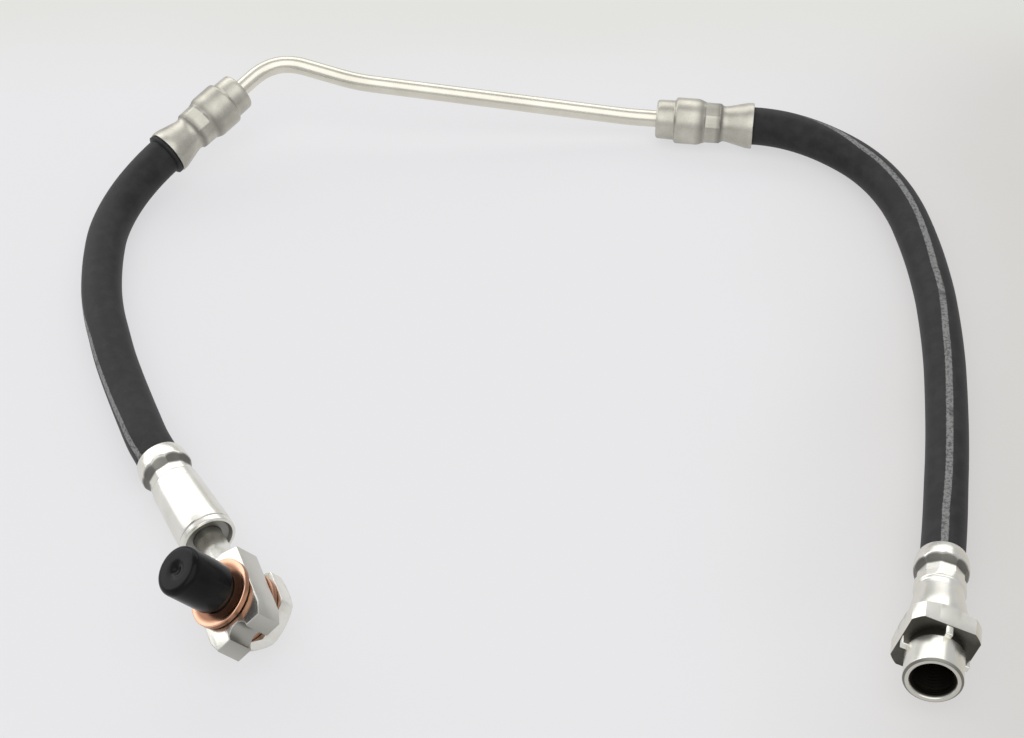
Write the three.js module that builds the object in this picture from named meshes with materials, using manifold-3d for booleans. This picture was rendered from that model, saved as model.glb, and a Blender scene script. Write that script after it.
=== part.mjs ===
// Front brake hose: two rubber hoses joined by a bent steel link pipe. One end is a banjo
// with its hollow bolt, copper washers and shipping cap, the other a female port with a square flange.
// Millimetres, +Z up. The hose lies on the plane z = 0, and the origin is under its middle.
// Along every end fitting, s is measured from the lip that the hose enters.
import * as THREE from 'three';
import { mergeVertices } from 'three/addons/utils/BufferGeometryUtils.js';
import Module from 'manifold-3d';

const wasm = await Module();
wasm.setup();

// Driving dimensions
const GAP = 0.3;
const SIDES = 20;

const HOSE_OD = 10.5;
const HOSE_BORE = 3.3;
const HOSE_SIDES = 12;
const HOSE_STEP = 24;

const PIPE_OD = 4.75;
const PIPE_BORE = 3.25;
const PIPE_STEP = 5;
const PIPE_SIDES = 10;

const SHELL_WALL = 0.9;
const CRIMP_FLATS = 10;

const PIPE_SHELL_LIP_OD = 12.9;
const PIPE_SHELL_LIP_LENGTH = 1.5;
const PIPE_SHELL_FLARE = 6;
const PIPE_SHELL_WAIST_OD = 9.9;
const PIPE_SHELL_WAIST_LENGTH = 1;
const PIPE_SHELL_CRIMP_OD = 11.3;
const PIPE_SHELL_CRIMP_LENGTH = 4.4;
const PIPE_SHELL_BARREL_OD = 13;
const PIPE_SHELL_BARREL_LENGTH = 8.1;
const PIPE_SHELL_TAIL_OD = 11;
const PIPE_SHELL_TAIL_LENGTH = 5;

const SOCKET_LIP_OD = 11.9;
const SOCKET_COLLAR_OD = 13;
const SOCKET_COLLAR_LENGTH = 6.5;
const SOCKET_CRIMP_OD = 11.8;
const SOCKET_CRIMP_LENGTH = 3.2;
const SOCKET_END_OD = 13.5;
const BANJO_SOCKET_LENGTH = 28.8;
const BANJO_SOCKET_LINE = 1.7;
const PORT_SOCKET_LENGTH = 23.2;
const END_WALL = 1.2;
const CONE_STEP = 0.8;

const STEM_OD = 3.6;
const STEM_BARB_OD = 4.1;
const STEM_BORE = 2.2;
const BARB_PITCH = 3.2;
const STEM_TIP = 2;
const PIPE_HOSE_DEPTH = 18;
const SOCKET_HOSE_DEPTH = 15.5;
const HOSE_LAP = 2;
const HOSE_LEAD = 2.5;

const FLANGE_ACROSS_FLATS = 16.3;
const FLANGE_CORNER_OD = 20.2;
const FLANGE_THICKNESS = 6.2;
const FLANGE_PHASE = 62.5;
const FLANGE_SIDES = 4;
const FLANGE_FACE_INSET = 0.3;
const PORT_BOSS_OD = 13.3;
const PORT_BOSS_LENGTH = 10;
const PORT_GROOVE_OD = 12.2;
const PORT_GROOVE_WIDTH = 2.2;
const PORT_BORE = 9;
const PORT_BORE_DEPTH = 13;
const PORT_MOUTH_OD = 11.4;
const PORT_MOUTH_DEPTH = 1.6;
const PORT_RIM_CHAMFER = 0.4;
const KEY_WIDTH = 1.7;
const KEY_HEIGHT = 1.3;
const KEY_LENGTH = 2.6;

const BOLT_OD = 9.2;
const BOLT_BORE = 4;
const BOLT_CROSS_HOLE = 3;
const BOLT_HEAD_ACROSS_FLATS = 16.4;
const BOLT_HEAD_THICKNESS = 4.4;
const BOLT_HEAD_SIDES = 6;
const BOLT_HEAD_PHASE = 30;
const HEAD_CHAMFER_ANGLE = 30;
const BOLT_TIP_CHAMFER = 1;
const WASHER_OD = 16.2;
const WASHER_THICKNESS = 1.5;
const EYE_BORE = 10;
const EYE_GROOVE_OD = 12;
const EYE_GROOVE_WIDTH = 3;
const EYE_THICKNESS = 7;
const EYE_WIDTH = 15.2;
const EYE_END = 11.7;
const EYE_TAPER_LENGTH = 3.2;
const EYE_TAPER_DEPTH = 1.1;
const EYE_SHOULDER = 10.6;
const EYE_CORNER = 1.6;
const FORK_WIDTH = 4.9;
const FORK_DEPTH = 2.6;
const NECK_OD = 7;
const NECK_BEND = 5;
const NECK_STEP = 3;

const CAP_OD = 11.8;
const CAP_LENGTH = 13.4;
const CAP_WALL = 0.9;
const CAP_TIP_RADIUS = 3;
const CAP_TIP_STEPS = 4;
const CAP_DIMPLE_OD = 4.6;
const CAP_DIMPLE_DEPTH = 0.5;

// Where each fitting's lip lies, and which way the fitting runs from its hose
const banjoEnd = {
  lip: new THREE.Vector3(-87.5, -35.7, 6.8),
  along: new THREE.Vector3(15.5, -27.1, 0).normalize(),
};
const leftPipeEnd = {
  lip: new THREE.Vector3(-97.7, 76.4, 10),
  along: new THREE.Vector3(18.5, 18.6, 7.1).normalize(),
};
const rightPipeEnd = {
  lip: new THREE.Vector3(64.8, 92.4, 6.6),
  along: new THREE.Vector3(-25.7, 3.1, 0).normalize(),
};
const portEnd = {
  lip: new THREE.Vector3(96, -66.7, 6.7),
  along: new THREE.Vector3(-8.4, -39.9, 5.5).normalize(),
};

// Each hose from one lip to the other, through points picked where it lies
const leftRoute = [
  [-91.3, -28.7, 6.6], [-94.4, -21.3, 6.0], [-97.4, -13.9, 5.5], [-100.4, -6.4, 5.4],
  [-103.2, 1.1, 5.4], [-105.6, 8.7, 5.4], [-107.9, 16.4, 5.4], [-109.6, 24.3, 5.4],
  [-110.6, 32.2, 5.4], [-111.1, 40.1, 5.4], [-111.0, 48.1, 5.4], [-109.5, 56.5, 5.6],
  [-106.6, 64.1, 6.6], [-102.8, 70.5, 8.0],
];
const rightRoute = [
  [73.2, 90.7, 6.5], [80.1, 88.0, 6.1], [86.8, 83.8, 5.7], [92.8, 78.3, 5.5],
  [97.6, 71.6, 5.4], [101.1, 64.0, 5.4], [103.4, 56.2, 5.4], [104.8, 48.3, 5.4],
  [105.9, 39.4, 5.4], [106.5, 31.5, 5.4], [106.8, 23.5, 5.4], [106.7, 15.5, 5.4],
  [106.4, 7.5, 5.4], [105.8, -1.5, 5.4], [105.0, -9.5, 5.4], [104.1, -17.4, 5.4],
  [103.1, -25.4, 5.4], [101.8, -34.3, 5.4], [100.5, -42.2, 5.4], [99.2, -50.1, 5.5],
  [97.8, -57.9, 5.8],
];

// The link pipe's two middle bends, and the short straight that it keeps at its right end
const pipeBends = [[-69.5, 104.8, 20.8], [-46.5, 98.5, 17.4]];
const PIPE_RIGHT_STRAIGHT = 8;
const PIPE_BEND_RADII = [14, 40, 40];

// The banjo eye's middle from the end of its socket, its length away from the hose, and the
// direction in which its bolt's thread points
const EYE_FROM_SOCKET = new THREE.Vector3(8.4, -23.0, 6.2);
const eyeLength = new THREE.Vector3(0.358, -0.928, 0.052);
const boltAxis = new THREE.Vector3(-0.596, -0.187, 0.781).normalize();

const steel = new THREE.MeshStandardMaterial({ color: 0xc9c7bd, roughness: 0.35, metalness: 1 });
const pipeSteel = new THREE.MeshStandardMaterial({ color: 0xbdb9aa, roughness: 0.3, metalness: 1 });
const copper = new THREE.MeshStandardMaterial({ color: 0xd98254, roughness: 0.35, metalness: 1 });
const rubber = new THREE.MeshStandardMaterial({ color: 0x26262a, roughness: 0.7, metalness: 0 });
const vinyl = new THREE.MeshStandardMaterial({ color: 0x0c0c0e, roughness: 0.2, metalness: 0 });

// Joining and cutting
function solid(geometry) {
  const bare = new THREE.BufferGeometry();
  bare.setAttribute('position', geometry.getAttribute('position').clone());
  if (geometry.index) bare.setIndex(geometry.index.clone());
  const merged = mergeVertices(bare, 1e-4);
  const corners = merged.index.array;
  const kept = [];
  for (let i = 0; i < corners.length; i += 3) {
    const [a, b, c] = corners.slice(i, i + 3);
    if (a !== b && b !== c && c !== a) kept.push(a, b, c);
  }
  return new wasm.Manifold(new wasm.Mesh({
    numProp: 3,
    vertProperties: new Float32Array(merged.getAttribute('position').array),
    triVerts: new Uint32Array(kept),
  }));
}

function geometryOf(manifold) {
  const mesh = manifold.getMesh();
  const geometry = new THREE.BufferGeometry();
  geometry.setAttribute('position', new THREE.BufferAttribute(new Float32Array(mesh.vertProperties), 3));
  geometry.setIndex(new THREE.BufferAttribute(new Uint32Array(mesh.triVerts), 1));
  geometry.computeVertexNormals();
  return geometry;
}

// A closed profile of [s, radius] pairs turned about the local Z axis
function turned(profile, sides = SIDES) {
  const points = profile.map(([s, r]) => new THREE.Vector2(r, s));
  const onAxis = (p) => p.x === 0;
  if (!(onAxis(points[0]) && onAxis(points.at(-1)))) points.push(points[0].clone());
  return new THREE.LatheGeometry(points, sides).rotateX(Math.PI / 2);
}

// The wall between an outer and an inner profile, both listed by rising s
function ring(outer, inner, sides = SIDES) {
  return turned([...outer, ...inner.toReversed()], sides);
}

function rod(from, to, radius, sides = SIDES) {
  return turned([[from, 0], [from, radius], [to, radius], [to, 0]], sides);
}

function radiusAt(profile, s) {
  const next = profile.findIndex(([at]) => at >= s);
  if (next <= 0) return profile.at(next)[1];
  const [[s0, r0], [s1, r1]] = [profile[next - 1], profile[next]];
  return s1 === s0 ? Math.min(r0, r1) : r0 + ((r1 - r0) * (s - s0)) / (s1 - s0);
}

// Presses flats into the surface between two places along a turned piece
function pressFlats(geometry, from, to, apothem, wallInside) {
  const position = geometry.getAttribute('position');
  const sector = (2 * Math.PI) / CRIMP_FLATS;
  for (let i = 0; i < position.count; i += 1) {
    const [x, y, s] = [position.getX(i), position.getY(i), position.getZ(i)];
    const r = Math.hypot(x, y);
    if (s <= from || s >= to || r < wallInside) continue;
    const angle = Math.atan2(y, x);
    const middle = Math.round(angle / sector) * sector;
    const flat = apothem / Math.cos(angle - middle);
    const share = Math.min(1, flat / r);
    position.setXY(i, x * share, y * share);
  }
  return geometry;
}

// Places
function turnTo(end) {
  return new THREE.Quaternion().setFromUnitVectors(new THREE.Vector3(0, 0, 1), end.along);
}

function alongEnd(end, s) {
  return end.lip.clone().addScaledVector(end.along, s);
}

function placed(geometry, end) {
  return geometry.clone().applyQuaternion(turnTo(end)).translate(...end.lip.toArray());
}

function piece(name, geometry, material, parent) {
  const mesh = new THREE.Mesh(geometry, material);
  mesh.name = name;
  parent.add(mesh);
  return mesh;
}

function fittingGroup(end) {
  const group = new THREE.Group();
  group.position.copy(end.lip);
  group.quaternion.copy(turnTo(end));
  return group;
}

// Shells: [s, radius] of the outside, from the hose's lip on
function pipeShellOutside() {
  let s = 0;
  const outside = [[s, PIPE_SHELL_LIP_OD / 2]];
  outside.push([(s += PIPE_SHELL_LIP_LENGTH), PIPE_SHELL_LIP_OD / 2]);
  outside.push([(s += PIPE_SHELL_FLARE), PIPE_SHELL_WAIST_OD / 2]);
  outside.push([(s += PIPE_SHELL_WAIST_LENGTH), PIPE_SHELL_WAIST_OD / 2]);
  outside.push([(s += CONE_STEP), PIPE_SHELL_CRIMP_OD / 2]);
  outside.push([(s += PIPE_SHELL_CRIMP_LENGTH), PIPE_SHELL_CRIMP_OD / 2]);
  outside.push([(s += CONE_STEP), PIPE_SHELL_BARREL_OD / 2]);
  outside.push([(s += PIPE_SHELL_BARREL_LENGTH - CONE_STEP), PIPE_SHELL_BARREL_OD / 2]);
  outside.push([(s += CONE_STEP / 2), PIPE_SHELL_TAIL_OD / 2]);
  outside.push([(s += PIPE_SHELL_TAIL_LENGTH), PIPE_SHELL_TAIL_OD / 2]);
  return outside;
}

function socketOutside(length) {
  const crimpFrom = SOCKET_COLLAR_LENGTH + CONE_STEP;
  const crimpTo = crimpFrom + SOCKET_CRIMP_LENGTH;
  return [
    [0, SOCKET_LIP_OD / 2],
    [SOCKET_COLLAR_LENGTH / 3, SOCKET_COLLAR_OD / 2],
    [SOCKET_COLLAR_LENGTH, SOCKET_COLLAR_OD / 2],
    [crimpFrom, SOCKET_CRIMP_OD / 2],
    [crimpTo, SOCKET_CRIMP_OD / 2],
    [length - BANJO_SOCKET_LINE * 2, SOCKET_END_OD / 2],
    [length, SOCKET_END_OD / 2],
  ];
}

const pipeShell = pipeShellOutside();
const PIPE_SHELL_LENGTH = pipeShell.at(-1)[0];
const banjoSocket = socketOutside(BANJO_SOCKET_LENGTH);
const portSocket = socketOutside(PORT_SOCKET_LENGTH);

function insideOf(outside, to) {
  const inside = outside.filter(([s]) => s < to).map(([s, r]) => [s, r - SHELL_WALL]);
  inside[0][1] = Math.max(inside[0][1], HOSE_OD / 2 + GAP);
  return [...inside, [to, radiusAt(outside, to) - SHELL_WALL]];
}

const pipeShellInside = insideOf(pipeShell, PIPE_SHELL_LENGTH - END_WALL);
const banjoSocketInside = insideOf(banjoSocket, BANJO_SOCKET_LENGTH - END_WALL);
const portSocketInside = insideOf(portSocket, PORT_SOCKET_LENGTH);

function shell(outside, inside, holeRadius) {
  const length = outside.at(-1)[0];
  const closed = inside.at(-1)[0] < length;
  const hole = closed ? [[inside.at(-1)[0], holeRadius], [length, holeRadius]] : [];
  return ring(outside, [...inside, ...hole]);
}

// A barbed stem with its open bore, from its tip up to s = to
function stemOutside(to) {
  const outside = [[STEM_TIP, STEM_OD / 2]];
  for (let s = STEM_TIP + BARB_PITCH; s < to - BARB_PITCH; s += BARB_PITCH) {
    outside.push([s - GAP, STEM_BARB_OD / 2], [s, STEM_OD / 2]);
  }
  return outside;
}

// The end of a hose inside its shell, squeezed between the shell and the stem
function hoseEnd(inside, depth) {
  const stations = [-HOSE_LAP, ...inside.map(([s]) => s).filter((s) => s > 0 && s < depth), depth];
  const outer = stations.map((s) => [
    s,
    s < 0 ? HOSE_OD / 2 : Math.min(HOSE_OD / 2, radiusAt(inside, s) - GAP),
  ]);
  const bore = STEM_BARB_OD / 2 + GAP;
  return ring(outer, [[-HOSE_LAP, HOSE_BORE / 2], [0, bore], [depth, bore]], HOSE_SIDES);
}

// Hoses
function hoseCurve(startEnd, route, finishEnd) {
  const points = [
    startEnd.lip,
    alongEnd(startEnd, -HOSE_LEAD),
    ...route.map((p) => new THREE.Vector3(...p)),
    alongEnd(finishEnd, -HOSE_LEAD),
    finishEnd.lip,
  ];
  return new THREE.CatmullRomCurve3(points, false, 'centripetal');
}

function annulus(outerRadius, innerRadius, sides) {
  const circle = (radius) => Array.from({ length: sides }, (_, k) => {
    const angle = (2 * Math.PI * k) / sides;
    return new THREE.Vector2(radius * Math.cos(angle), radius * Math.sin(angle));
  });
  const shape = new THREE.Shape(circle(outerRadius));
  if (innerRadius) shape.holes.push(new THREE.Path(circle(innerRadius)));
  return shape;
}

function sweep(shape, path, step) {
  const steps = Math.ceil(path.getLength() / step);
  return new THREE.ExtrudeGeometry(shape, { steps, bevelEnabled: false, extrudePath: path });
}

function hose(startEnd, startInside, startDepth, route, finishEnd, finishInside, finishDepth) {
  const curve = hoseCurve(startEnd, route, finishEnd);
  const free = sweep(annulus(HOSE_OD / 2, HOSE_BORE / 2, HOSE_SIDES), curve, HOSE_STEP);
  const start = placed(hoseEnd(startInside, startDepth), startEnd);
  const finish = placed(hoseEnd(finishInside, finishDepth), finishEnd);
  return geometryOf(solid(free).add(solid(start)).add(solid(finish)));
}

// Link pipe
function roundedPath(vertices, radii) {
  const path = new THREE.CurvePath();
  let from = vertices[0];
  for (let i = 1; i < vertices.length - 1; i += 1) {
    const before = vertices[i].clone().sub(vertices[i - 1]).normalize();
    const after = vertices[i + 1].clone().sub(vertices[i]).normalize();
    const tangent = radii[i - 1] * Math.tan(before.angleTo(after) / 2);
    const enter = vertices[i].clone().addScaledVector(before, -tangent);
    const leave = vertices[i].clone().addScaledVector(after, tangent);
    path.add(new THREE.LineCurve3(from, enter));
    path.add(new THREE.QuadraticBezierCurve3(enter, vertices[i], leave));
    from = leave;
  }
  path.add(new THREE.LineCurve3(from, vertices.at(-1)));
  return path;
}

const PIPE_SEAT = PIPE_SHELL_LENGTH - PIPE_SHELL_TAIL_LENGTH + GAP;

function linkPipe() {
  const vertices = [
    alongEnd(leftPipeEnd, PIPE_SEAT),
    ...pipeBends.map((p) => new THREE.Vector3(...p)),
    alongEnd(rightPipeEnd, PIPE_SHELL_LENGTH + PIPE_RIGHT_STRAIGHT),
    alongEnd(rightPipeEnd, PIPE_SEAT),
  ];
  const path = roundedPath(vertices, PIPE_BEND_RADII);
  return sweep(annulus(PIPE_OD / 2, PIPE_BORE / 2, PIPE_SIDES), path, PIPE_STEP);
}

// The stem that is brazed on each end of the pipe: barbs in the hose, a socket for the pipe
function pipeNipple() {
  const bodyFrom = PIPE_HOSE_DEPTH + GAP;
  const bodyTo = PIPE_SHELL_LENGTH - END_WALL - GAP;
  const stepAt = PIPE_SHELL_LENGTH - PIPE_SHELL_TAIL_LENGTH - CONE_STEP;
  const wide = PIPE_SHELL_BARREL_OD / 2 - SHELL_WALL - GAP;
  const narrow = PIPE_SHELL_TAIL_OD / 2 - SHELL_WALL - GAP;
  const outside = [
    ...stemOutside(bodyFrom),
    [bodyFrom, STEM_OD / 2], [bodyFrom, wide], [stepAt, wide],
    [stepAt, narrow], [bodyTo, narrow],
  ];
  const seat = PIPE_SEAT - GAP;
  const inside = [
    [STEM_TIP, STEM_BORE / 2], [seat, STEM_BORE / 2],
    [seat, PIPE_OD / 2 + GAP], [bodyTo, PIPE_OD / 2 + GAP],
  ];
  return geometryOf(solid(ring(outside, inside)));
}

function pipeFerrule() {
  const geometry = shell(pipeShell, pipeShellInside, PIPE_OD / 2 + GAP);
  const crimpFrom = PIPE_SHELL_LIP_LENGTH + PIPE_SHELL_FLARE;
  const crimpTo = crimpFrom + PIPE_SHELL_WAIST_LENGTH + CONE_STEP + PIPE_SHELL_CRIMP_LENGTH + GAP;
  const apothem = (PIPE_SHELL_CRIMP_OD / 2) * Math.cos(Math.PI / CRIMP_FLATS);
  const wallInside = (PIPE_SHELL_WAIST_OD / 2) - SHELL_WALL / 2;
  return pressFlats(geometry, crimpFrom, crimpTo, apothem, wallInside);
}

function socketFerrule(outside, inside, holeRadius) {
  const geometry = shell(outside, inside, holeRadius);
  const crimpFrom = SOCKET_COLLAR_LENGTH + CONE_STEP / 2;
  const crimpTo = crimpFrom + CONE_STEP + SOCKET_CRIMP_LENGTH;
  const apothem = (SOCKET_CRIMP_OD / 2) * Math.cos(Math.PI / CRIMP_FLATS);
  const wallInside = SOCKET_CRIMP_OD / 2 - SHELL_WALL / 2;
  return pressFlats(geometry, crimpFrom, crimpTo, apothem, wallInside);
}

// A bar with flat sides over a thickness from s = from on; its first flat faces the phase angle
function flatBar(sides, acrossFlats, from, thickness, phase) {
  const corner = acrossFlats / 2 / Math.cos(Math.PI / sides);
  const shape = new THREE.Shape(Array.from({ length: sides }, (_, k) => {
    const angle = THREE.MathUtils.degToRad(phase + (360 / sides) * (k + 0.5));
    return new THREE.Vector2(corner * Math.cos(angle), corner * Math.sin(angle));
  }));
  return new THREE.ExtrudeGeometry(shape, { depth: thickness, bevelEnabled: false }).translate(0, 0, from);
}

// How far a turned chamfer runs along a bar, from its face's radius out to another radius
function chamferLength(face, radius) {
  return (radius - face) * Math.tan(THREE.MathUtils.degToRad(HEAD_CHAMFER_ANGLE));
}

// Female port: square flange, keyed boss with its threaded bore, and the barbed stem behind it
const FLANGE_FROM = PORT_SOCKET_LENGTH + GAP;
const FLANGE_TO = FLANGE_FROM + FLANGE_THICKNESS;
const PORT_END = FLANGE_TO + PORT_BOSS_LENGTH;

function squareFlange() {
  const square = flatBar(FLANGE_SIDES, FLANGE_ACROSS_FLATS, FLANGE_FROM, FLANGE_THICKNESS, FLANGE_PHASE);
  const face = FLANGE_ACROSS_FLATS / 2 - FLANGE_FACE_INSET;
  const corner = FLANGE_CORNER_OD / 2;
  const limit = turned([
    [FLANGE_FROM, 0], [FLANGE_FROM, face], [FLANGE_FROM + chamferLength(face, corner), corner],
    [FLANGE_TO, corner], [FLANGE_TO, 0],
  ], 3 * SIDES);
  return solid(square).intersect(solid(limit));
}

function femaleFitting() {
  const plugFrom = SOCKET_HOSE_DEPTH + GAP;
  const plug = radiusAt(portSocketInside, plugFrom) - GAP;
  const stem = ring(
    [...stemOutside(plugFrom), [plugFrom, STEM_OD / 2], [plugFrom, plug], [FLANGE_FROM + 1, plug]],
    [[STEM_TIP, STEM_BORE / 2], [FLANGE_FROM + 1, STEM_BORE / 2]],
  );
  const boss = turned([
    [FLANGE_TO - 1, 0], [FLANGE_TO - 1, PORT_GROOVE_OD / 2],
    [FLANGE_TO + PORT_GROOVE_WIDTH, PORT_GROOVE_OD / 2], [FLANGE_TO + PORT_GROOVE_WIDTH, PORT_BOSS_OD / 2],
    [PORT_END - PORT_RIM_CHAMFER, PORT_BOSS_OD / 2], [PORT_END, PORT_BOSS_OD / 2 - PORT_RIM_CHAMFER],
    [PORT_END, 0],
  ]);
  const key = new THREE.BoxGeometry(KEY_HEIGHT + 1, KEY_WIDTH, KEY_LENGTH + 1)
    .translate(PORT_BOSS_OD / 2 + (KEY_HEIGHT - 1) / 2, 0, FLANGE_TO + (KEY_LENGTH - 1) / 2);
  const boreFloor = PORT_END - PORT_BORE_DEPTH;
  const bore = turned([
    [boreFloor - 1, 0], [boreFloor - 1, STEM_BORE / 2], [boreFloor, STEM_BORE / 2 + 1],
    [boreFloor, PORT_BORE / 2], [PORT_END - PORT_MOUTH_DEPTH, PORT_BORE / 2],
    [PORT_END, PORT_MOUTH_OD / 2], [PORT_END + 1, PORT_MOUTH_OD / 2], [PORT_END + 1, 0],
  ]);
  let body = squareFlange().add(solid(boss));
  for (let k = 0; k < FLANGE_SIDES; k += 1) {
    const angle = THREE.MathUtils.degToRad(FLANGE_PHASE + (360 / FLANGE_SIDES) * k);
    body = body.add(solid(key.clone().rotateZ(angle)));
  }
  body = body.subtract(solid(rod(FLANGE_FROM - 1, boreFloor, STEM_BORE / 2))).subtract(solid(bore));
  return geometryOf(body.add(solid(stem)));
}

// Banjo: the eye's own axes have X along its length, Z along the bolt
const socketEnd = alongEnd(banjoEnd, BANJO_SOCKET_LENGTH);
const eyeCentre = socketEnd.clone().add(EYE_FROM_SOCKET);
const eyeY = boltAxis.clone().cross(eyeLength).normalize();
const eyeX = eyeY.clone().cross(boltAxis);
const eyeTurn = new THREE.Matrix4().makeBasis(eyeX, eyeY, boltAxis).setPosition(eyeCentre);

function eyeGroup() {
  const group = new THREE.Group();
  group.applyMatrix4(eyeTurn);
  return group;
}

function eyeOutline() {
  const half = EYE_WIDTH / 2;
  const shape = new THREE.Shape();
  shape.moveTo(EYE_END - EYE_TAPER_LENGTH, -half);
  shape.lineTo(EYE_END, -half + EYE_TAPER_DEPTH);
  shape.lineTo(EYE_END, -FORK_WIDTH / 2);
  shape.lineTo(EYE_END - FORK_DEPTH + FORK_WIDTH / 2, -FORK_WIDTH / 2);
  shape.absarc(EYE_END - FORK_DEPTH + FORK_WIDTH / 2, 0, FORK_WIDTH / 2, -Math.PI / 2, Math.PI / 2, true);
  shape.lineTo(EYE_END, FORK_WIDTH / 2);
  shape.lineTo(EYE_END, half - EYE_TAPER_DEPTH);
  shape.lineTo(EYE_END - EYE_TAPER_LENGTH, half);
  shape.lineTo(-EYE_SHOULDER + EYE_CORNER, half);
  shape.lineTo(-EYE_SHOULDER, NECK_OD / 2);
  shape.lineTo(-EYE_SHOULDER, -NECK_OD / 2);
  shape.lineTo(-EYE_SHOULDER + EYE_CORNER, -half);
  shape.closePath();
  return shape;
}

function banjoFitting() {
  const flat = { depth: EYE_THICKNESS, bevelEnabled: false, curveSegments: 8 };
  const block = new THREE.ExtrudeGeometry(eyeOutline(), flat)
    .translate(0, 0, -EYE_THICKNESS / 2)
    .applyMatrix4(eyeTurn);
  const halfGroove = EYE_GROOVE_WIDTH / 2;
  const eyeHole = turned([
    [-EYE_THICKNESS, 0], [-EYE_THICKNESS, EYE_BORE / 2], [-halfGroove, EYE_BORE / 2],
    [-halfGroove, EYE_GROOVE_OD / 2], [halfGroove, EYE_GROOVE_OD / 2],
    [halfGroove, EYE_BORE / 2], [EYE_THICKNESS, EYE_BORE / 2], [EYE_THICKNESS, 0],
  ]).applyMatrix4(eyeTurn);
  const plugFrom = SOCKET_HOSE_DEPTH + GAP;
  const plugTo = BANJO_SOCKET_LENGTH - END_WALL - GAP;
  const plug = radiusAt(banjoSocketInside, plugFrom) - GAP;
  const stem = ring(
    [...stemOutside(plugFrom), [plugFrom, STEM_OD / 2], [plugFrom, plug], [plugTo, plug]],
    [[STEM_TIP, STEM_BORE / 2], [plugTo, STEM_BORE / 2]],
  );
  const neckFrom = alongEnd(banjoEnd, plugTo - 1);
  const bendFrom = alongEnd(banjoEnd, BANJO_SOCKET_LENGTH + GAP);
  const neckTo = eyeCentre.clone().addScaledVector(eyeX, -EYE_BORE / 2 - 2);
  const bendTo = eyeCentre.clone().addScaledVector(eyeX, -EYE_SHOULDER + GAP);
  const path = new THREE.CurvePath();
  path.add(new THREE.LineCurve3(neckFrom, bendFrom));
  path.add(new THREE.CubicBezierCurve3(
    bendFrom,
    bendFrom.clone().addScaledVector(banjoEnd.along, NECK_BEND),
    bendTo.clone().addScaledVector(eyeX, -NECK_BEND),
    bendTo,
  ));
  path.add(new THREE.LineCurve3(bendTo, neckTo));
  const neck = sweep(annulus(NECK_OD / 2, 0, SIDES / 2), path, NECK_STEP);
  const way = sweep(annulus(STEM_BORE / 2, 0, 8), path, NECK_STEP);
  const intoEye = rod(-EYE_BORE / 2 - NECK_STEP, -EYE_BORE / 2 + 1, STEM_BORE / 2, 8)
    .rotateY(Math.PI / 2)
    .applyMatrix4(eyeTurn);
  const whole = solid(block).add(solid(neck)).add(solid(placed(stem, banjoEnd)));
  return geometryOf(whole.subtract(solid(eyeHole)).subtract(solid(way)).subtract(solid(intoEye)));
}

const EYE_FACE = EYE_THICKNESS / 2;
const HEAD_SEAT = EYE_FACE + GAP + WASHER_THICKNESS + GAP;
const CAP_FROM = HEAD_SEAT;
const CAP_TO = CAP_FROM + CAP_LENGTH;
const BOLT_TO = CAP_TO - CAP_WALL - CAP_DIMPLE_DEPTH - GAP;

function washer(side) {
  const near = side * (EYE_FACE + GAP);
  const from = Math.min(near, near + side * WASHER_THICKNESS);
  const to = from + WASHER_THICKNESS;
  const hole = BOLT_OD / 2 + GAP;
  const rim = WASHER_OD / 2;
  return geometryOf(solid(ring([[from, rim], [to, rim]], [[from, hole], [to, hole]], 24)));
}

function banjoBolt() {
  const hexagon = flatBar(BOLT_HEAD_SIDES, BOLT_HEAD_ACROSS_FLATS, 0, BOLT_HEAD_THICKNESS, BOLT_HEAD_PHASE);
  const face = BOLT_HEAD_ACROSS_FLATS / 2 - GAP;
  const corner = BOLT_HEAD_ACROSS_FLATS / 2 / Math.cos(Math.PI / BOLT_HEAD_SIDES) + GAP;
  const limit = turned([
    [0, 0], [0, corner], [BOLT_HEAD_THICKNESS - chamferLength(face, corner), corner],
    [BOLT_HEAD_THICKNESS, face], [BOLT_HEAD_THICKNESS, 0],
  ]);
  const head = solid(hexagon).intersect(solid(limit))
    .rotate([180, 0, 0])
    .translate([0, 0, -HEAD_SEAT]);
  const shank = turned([
    [-HEAD_SEAT - 1, 0], [-HEAD_SEAT - 1, BOLT_OD / 2], [BOLT_TO - BOLT_TIP_CHAMFER, BOLT_OD / 2],
    [BOLT_TO, BOLT_OD / 2 - BOLT_TIP_CHAMFER], [BOLT_TO, 0],
  ]);
  const bore = rod(-BOLT_CROSS_HOLE, BOLT_TO + 1, BOLT_BORE / 2, 16);
  const cross = rod(-BOLT_OD, BOLT_OD, BOLT_CROSS_HOLE / 2, 12).rotateX(Math.PI / 2);
  return geometryOf(head.add(solid(shank)).subtract(solid(bore)).subtract(solid(cross)));
}

function boltCap() {
  const outer = CAP_OD / 2;
  const inner = BOLT_OD / 2 + GAP;
  const tip = Array.from({ length: CAP_TIP_STEPS + 1 }, (_, k) => {
    const angle = (k / CAP_TIP_STEPS) * (Math.PI / 2);
    return [
      CAP_TO - CAP_TIP_RADIUS * (1 - Math.sin(angle)),
      outer - CAP_TIP_RADIUS * (1 - Math.cos(angle)),
    ];
  });
  return geometryOf(solid(turned([
    [CAP_FROM, inner], [CAP_FROM, outer], ...tip,
    [CAP_TO, CAP_DIMPLE_OD / 2], [CAP_TO - CAP_DIMPLE_DEPTH, CAP_DIMPLE_OD / 2 - 0.4],
    [CAP_TO - CAP_DIMPLE_DEPTH, 0], [BOLT_TO + GAP, 0],
    [BOLT_TO + GAP, inner - BOLT_TIP_CHAMFER], [BOLT_TO + GAP - BOLT_TIP_CHAMFER, inner],
  ], 24)));
}

// The assembly
const brakeHose = new THREE.Group();

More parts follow.
